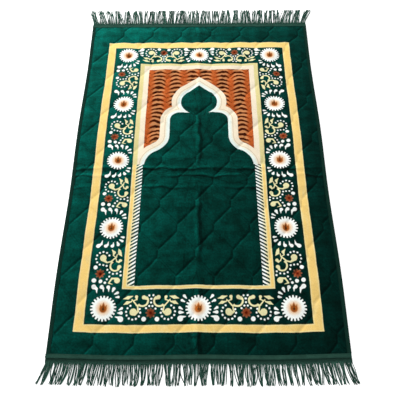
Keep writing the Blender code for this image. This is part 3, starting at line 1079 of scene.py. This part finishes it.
def build_mat(velvet_settings, quilt):
    columns, rows = even_lines(HALF_WIDTH, quilt.cell), even_lines(HALF_LENGTH, quilt.cell)
    mat = add_grid("quilted_mat", columns, rows)
    edge_x, edge_y = columns[-1], rows[-1]
    rim_x, rim_y = HALF_WIDTH - RIM_WIDTH - RIM_STEP, HALF_LENGTH - RIM_WIDTH - RIM_STEP
    step_in = (rim_x / edge_x, rim_y / edge_y, RIM_UNDER)
    close_underneath([(1, 1, RIM_TOP), (1, 1, RIM_UNDER), step_in, (1, 1, 0.0)])
    lay_mat_map(mat)
    points = points_of(mat)
    x, y = points[:, 0].copy(), points[:, 1].copy()
    top = np.arange(len(points)) < len(columns) * len(rows)
    points[top, 2] = face_height(x[top], y[top], quilt)
    # The third number of the cloth's place holds painted light and shade: how far its slopes and creases face
    # the lit side.
    keep_place(mat, "cloth_place", x, y, painted_slope_shading(x, y, quilt))
    keep_place(mat, "design_place", *design_place(x, y), np.zeros_like(x))
    points[:, 0], points[:, 1] = settle(x, y)
    place_points(mat, points)
    mat.data.materials.append(build_velvet(velvet_settings))
    mat.data.materials.append(build_backing())
    underneath = [int(face.normal.z < -0.5) for face in mat.data.polygons]
    mat.data.polygons.foreach_set("material_index", underneath)
    smooth(mat, 50)
    return mat


class PRAYER_RUG_OT_mat(bpy.types.Operator):
    """Make the quilted velvet mat"""

    bl_idname = "prayer_rug.mat"
    bl_label = "Quilted Mat"

    def execute(self, context):
        mat = build_mat(context.scene.rug_velvet, context.scene.rug_quilt)
        stands_for(mat, "rug_body")
        return {"FINISHED"}


# ---------------------------------------------------------------------------------------------------
# The tapes


def tape_profile():
    """Outside of a folded tape, from under the rug to over it: distance in from the edge, and height."""
    round_off = TAPE_HEIGHT / 2
    under = [(TAPE_FACE, 0.0), (TAPE_FACE * 0.6, 0.0)]
    turn = [
        (round_off * 0.55 * (1 - math.sin(angle)), round_off - round_off * math.cos(angle))
        for angle in np.linspace(0, math.pi, 13)
    ]
    over = [(TAPE_FACE * share, TAPE_HEIGHT) for share in (0.35, 0.55, 0.75, 0.9, 1.0)]
    return np.array(under + turn + over)


def build_tape(name, side, low, high, settings):
    """A tape folded round one edge. side is the way out of the rug, and low and high are its two ends."""
    profile = tape_profile()
    runs = np.linspace(low, high, round((high - low) / 0.005) + 1)
    tape = add_grid(name, np.arange(len(profile), dtype=float), runs)
    points = points_of(tape)
    step = np.rint(points[:, 0]).astype(int)
    along = points[:, 1].copy()
    inward, height = profile[step, 0], profile[step, 1]
    girth = np.concatenate([[0], np.cumsum(np.hypot(*np.diff(profile, axis=0).T))])
    half_size = HALF_WIDTH if side[0] else HALF_LENGTH
    outward = (side[0] + side[1]) * (half_size - inward)
    x, y = (outward, along) if side[0] else (along, outward)
    rng = np.random.default_rng(len(name))
    waves = [np.sin(2 * np.pi * along / rng.uniform(0.02, 0.09) + rng.uniform(0, 6.3)) for _ in range(4)]
    waver = sum(0.00022 * wave for wave in waves)
    lifted = height > TAPE_HEIGHT * 0.9
    seam_dip = -SEAM_DIP * np.exp(-(((inward - TAPE_FACE + SEAM_INSET) / (SEAM_INSET / 2)) ** 2))
    points[:, 0], points[:, 1] = settle(x, y)
    points[:, 2] = np.where(lifted, height + np.minimum(waver, 0.0) + seam_dip, height)
    place_points(tape, points)
    shade = np.full_like(along, SIDE_SHADE * abs(side[0]))
    keep_place(tape, "tape_place", along, girth[-1] - girth[step], shade)
    underside_looks_up = tape.data.polygons[0].normal.z > 0
    if underside_looks_up:
        with edit_mode():
            bpy.ops.mesh.flip_normals()
    apply_modifier(tape, "SOLIDIFY", thickness=TAPE_THICKNESS, offset=-1.0, use_even_offset=True)
    tape.data.materials.append(finish_named("ribbed_tape", build_tape_cloth, settings))
    smooth(tape, 45)
    return tape


class PRAYER_RUG_OT_side_bindings(bpy.types.Operator):
    """Make the tapes that bind the long sides"""

    bl_idname = "prayer_rug.side_bindings"
    bl_label = "Side Bindings"

    def execute(self, context):
        end = HALF_LENGTH - RIM_WIDTH
        for node, side in (("side_binding_left", -1), ("side_binding_right", 1)):
            tape = build_tape(node + "_tape", (side, 0), -end, end, context.scene.rug_tape)
            stands_for(tape, node)
        return {"FINISHED"}


class PRAYER_RUG_OT_end_tapes(bpy.types.Operator):
    """Make the tapes that bind the two ends"""

    bl_idname = "prayer_rug.end_tapes"
    bl_label = "End Tapes"

    def execute(self, context):
        tab = FRONT[1].x - MIDDLE[0]
        for node, side, right in (("end_tape_front", -1, tab), ("end_tape_back", 1, HALF_WIDTH)):
            tape = build_tape(node + "_tape", (0, side), -HALF_WIDTH, right, context.scene.rug_tape)
            stands_for(tape, node)
        return {"FINISHED"}


# ---------------------------------------------------------------------------------------------------
# The fringes


def build_heading(name, end):
    """The woven heading that holds the yarns: three cords side by side along the tape."""
    runs = np.linspace(-HALF_WIDTH, HALF_WIDTH, round(CLOTH_WIDTH / 0.0035) + 1)
    across = np.linspace(0, HEADING_WIDTH + CLEARANCE + TUCK, 22)
    heading = add_grid(name, runs, across)
    close_underneath([(1, 1, 0.0012), (1, 1, HEADING_UNDER)])
    points = points_of(heading)
    x, out = points[:, 0].copy(), points[:, 1].copy()
    top = np.arange(len(points)) < len(runs) * len(across)
    cord = np.abs(np.sin(np.pi * HEADING_CORDS * out / HEADING_WIDTH))
    slub = 0.00016 * np.sin(2 * np.pi * (x / 0.0067 + out / 0.006))
    points[top, 2] = (0.0013 + 0.0009 * cord**0.7 + slub)[top]
    points[:, 0], points[:, 1] = settle(x, end * (HALF_LENGTH - TUCK + out))
    place_points(heading, points)
    keep_place(heading, "yarn_place", x, out / CORD_TURN, np.full_like(x, CORD_TONE))
    turn_faces_out()
    return heading


def add_upright_yarns(name, count):
    """One upright yarn of ringed sides and its copies, which stand a unit high and three units apart."""
    deselect()
    bpy.ops.mesh.primitive_cylinder_add(vertices=YARN_SIDES, radius=1, depth=1, end_fill_type="TRIFAN")
    yarns = bpy.context.object
    yarns.name = name
    with edit_mode("DESELECT"):
        bpy.ops.mesh.select_mode(type="EDGE")
    corners = yarns.data.vertices
    for edge in yarns.data.edges:
        edge.select = corners[edge.vertices[0]].co.z * corners[edge.vertices[1]].co.z < -0.2
    bpy.ops.object.mode_set(mode="EDIT")
    bpy.ops.mesh.subdivide_edgering(number_cuts=YARN_RINGS - 2, interpolation="LINEAR", smoothness=0)
    bpy.ops.object.mode_set(mode="OBJECT")
    apply_modifier(
        yarns, "ARRAY", count=count, use_relative_offset=False, use_constant_offset=True,
        constant_offset_displace=(YARN_STANCE, 0, 0), use_merge_vertices=False,
    )
    return yarns


def yarn_courses(fringe, settings):
    """What sets one yarn apart from the next: its root, lean, length, bends, layer, radius and tone."""
    count = settings.strands
    rng = np.random.default_rng(fringe["seed"])
    even = np.linspace(-1, 1, count)
    root = (HALF_WIDTH - 0.0015) * (1.03 * even - 0.03 * np.sign(even) * np.abs(even) ** 17)
    clumps = round(CLOTH_WIDTH / CLUMP_PITCH)
    clump = np.rint((root / CLOTH_WIDTH + 0.5) * clumps)
    clump_lean = rng.uniform(-fringe["wander"], fringe["wander"], clumps + 1)[clump.astype(int)]
    clump_length = rng.uniform(0, STRAND_UNEVEN * 0.5, clumps + 1)[clump.astype(int)]
    clump_place = (clump / clumps - 0.5) * CLOTH_WIDTH
    gather = (clump_place - root) * rng.uniform(0.45, 0.9, count)
    splay = fringe["splay"] * root * np.abs(root) ** 1.5 / HALF_WIDTH**2.5
    lean = splay + clump_lean + gather + rng.normal(0, fringe["wander"] / 2, count)
    length = fringe["strand"] - clump_length - rng.uniform(0, STRAND_UNEVEN * 0.5, count)
    length = np.where(rng.random(count) < 0.06, length * 0.8, length)
    bend, wave, phase = rng.normal(0, 0.0022, count), rng.uniform(0.4, 1.6, count), rng.uniform(0, 6.3, count)
    layer = rng.uniform(0.0, 0.0026, count)
    radius = settings.yarn / 2 * rng.uniform(0.82, 1.1, count)
    tone = rng.beta(2.0, 1.6, count)
    courses = (root, lean, length, bend, wave, phase, layer, radius, tone)
    return [values[:, None] for values in courses]


def build_strands(name, fringe, settings):
    """The yarns of one fringe, laid out from one yarn and its copies."""
    strands = add_upright_yarns(name, settings.strands)
    points = points_of(strands).reshape(settings.strands, -1, 3)
    points[:, :, 0] -= YARN_STANCE * np.arange(settings.strands)[:, None]
    side, over, share = points[:, :, 0], points[:, :, 1], points[:, :, 2] + 0.5
    root, lean, length, bend, wave, phase, layer, radius, tone = yarn_courses(fringe, settings)
    taper = 1 - 0.35 * smoothstep((share - 0.9) / 0.1)
    width = radius * taper * (1 + 0.10 * np.sin(share * 40 + phase))
    sideways = lean * share**1.3 + bend * np.sin(np.pi * share)
    sideways += 0.0009 * np.sin(2 * np.pi * wave * share + phase) * share
    x = np.clip(root + sideways, -HALF_WIDTH - SPREAD, HALF_WIDTH + SPREAD) + side * width
    reach = HALF_LENGTH + CLEARANCE + HEADING_WIDTH - ROOT_TUCK + share * (length + ROOT_TUCK)
    height = radius + layer * np.sin(np.pi * np.clip(share * 1.15, 0, 1)) + over * width
    around = np.arctan2(over, side) / (2 * np.pi)
    placed = np.stack([*settle(x, fringe["end"] * reach), np.maximum(height, HEADING_UNDER)], axis=2)
    place_points(strands, placed.reshape(-1, 3))
    keep_place(strands, "yarn_place", share * length + phase, around, np.broadcast_to(tone, around.shape))
    turn_faces_out()
    return strands


class PRAYER_RUG_OT_fringes(bpy.types.Operator):
    """Make the fringe at each end"""

    bl_idname = "prayer_rug.fringes"
    bl_label = "Fringes"

    def execute(self, context):
        settings = context.scene.rug_fringe
        for node, fringe in FRINGES.items():
            heading = build_heading(node + "_heading", fringe["end"])
            strands = build_strands(node + "_yarns", fringe, settings)
            choose(heading, strands)
            bpy.ops.object.join()
            strands.data.materials.append(finish_named("twisted_yarn", build_yarn, settings))
            smooth(strands, 60)
            stands_for(strands, node)
        return {"FINISHED"}


# ---------------------------------------------------------------------------------------------------
# The stage


def aim(location, target):
    """Turns a lamp's own -Z from its place towards a target."""
    return (Vector(target) - Vector(location)).to_track_quat("-Z", "Y").to_euler()


def camera_matrix(location, pitch, yaw, roll):
    """Looks down by pitch, turned by yaw about the upright and by roll about its own line of sight."""
    forward = Vector((math.sin(yaw) * math.cos(pitch), math.cos(yaw) * math.cos(pitch), -math.sin(pitch)))
    right = Vector((math.cos(yaw), -math.sin(yaw), 0.0))
    up = right.cross(forward)
    rolled_right = right * math.cos(roll) + up * math.sin(roll)
    rolled_up = up * math.cos(roll) - right * math.sin(roll)
    turn = Matrix((rolled_right, rolled_up, -forward)).transposed()
    return Matrix.Translation(location) @ turn.to_4x4()


class PRAYER_RUG_OT_stage(bpy.types.Operator):
    """Make the floor, the lights and the camera"""

    bl_idname = "prayer_rug.stage"
    bl_label = "Stage"

    def execute(self, context):
        settings = context.scene.rug_stage
        deselect()
        bpy.ops.mesh.primitive_plane_add(size=settings.floor_size, location=(0, 0, -FLOOR_GAP))
        floor = bpy.context.object
        floor.name = "floor"
        finish = Finish("floor", Roughness=0.9, Specular_IOR_Level=0.1, Emission_Strength=settings.floor_glow)
        finish.shader.inputs["Base Color"].default_value = (*settings.floor, 1.0)
        finish.shader.inputs["Emission Color"].default_value = (1.0, 1.0, 1.0, 1.0)
        floor.data.materials.append(finish.material)
        floor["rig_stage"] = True

        world = bpy.data.worlds.new("studio")
        world.use_nodes = True
        background = world.node_tree.nodes["Background"]
        background.inputs["Color"].default_value = (1.0, 1.0, 1.0, 1.0)
        background.inputs["Strength"].default_value = settings.sky
        context.scene.world = world
        context.scene.view_settings.view_transform = "Standard"

        for name, made in LAMPS.items():
            turn = aim(made["place"], LIT_PLACE)
            bpy.ops.object.light_add(type="AREA", location=made["place"], rotation=turn)
            lamp = bpy.context.object
            lamp.name = name
            lamp.data.size = made["size"]
            lamp.data.energy = made["power"]

        bpy.ops.object.camera_add()
        camera = bpy.context.object
        camera.name = "camera"
        camera.data.lens = settings.lens
        camera.data.sensor_width = 36.0
        camera.matrix_world = camera_matrix(
            Vector((*MIDDLE, 0.0)) + Vector(CAMERA_FROM_MIDDLE),
            settings.camera_pitch, math.radians(CAMERA_YAW), math.radians(CAMERA_ROLL),
        )
        context.scene.camera = camera
        return {"FINISHED"}


class PRAYER_RUG_PT_panel(bpy.types.Panel):
    """The rug's pieces, in the order that they are made"""

    bl_label = "Prayer Rug"
    bl_space_type = "VIEW_3D"
    bl_region_type = "UI"
    bl_category = "Prayer Rug"

    def draw(self, context):
        for operator in OPERATORS:
            self.layout.operator(operator.bl_idname)
        for name in SETTINGS:
            group = getattr(context.scene, name)
            box_layout = self.layout.box()
            for prop in group.bl_rna.properties:
                if not prop.is_readonly and prop.identifier != "name":
                    box_layout.prop(group, prop.identifier)


OPERATORS = (
    PRAYER_RUG_OT_mat,
    PRAYER_RUG_OT_side_bindings,
    PRAYER_RUG_OT_end_tapes,
    PRAYER_RUG_OT_fringes,
    PRAYER_RUG_OT_stage,
)
SETTINGS = {
    "rug_velvet": VelvetSettings,
    "rug_quilt": QuiltSettings,
    "rug_tape": TapeSettings,
    "rug_fringe": FringeSettings,
    "rug_stage": StageSettings,
}


def register():
    for cls in (*SETTINGS.values(), *OPERATORS, PRAYER_RUG_PT_panel):
        bpy.utils.register_class(cls)
    for name, group in SETTINGS.items():
        setattr(bpy.types.Scene, name, bpy.props.PointerProperty(type=group))


def unregister():
    for name in SETTINGS:
        delattr(bpy.types.Scene, name)
    for cls in (PRAYER_RUG_PT_panel, *reversed(OPERATORS), *reversed(SETTINGS.values())):
        bpy.utils.unregister_class(cls)


def main():
    register()
    bpy.ops.prayer_rug.mat()
    bpy.ops.prayer_rug.side_bindings()
    bpy.ops.prayer_rug.end_tapes()
    bpy.ops.prayer_rug.fringes()
    bpy.ops.prayer_rug.stage()
    bpy.context.view_layer.update()


if __name__ == "__main__":
    main()
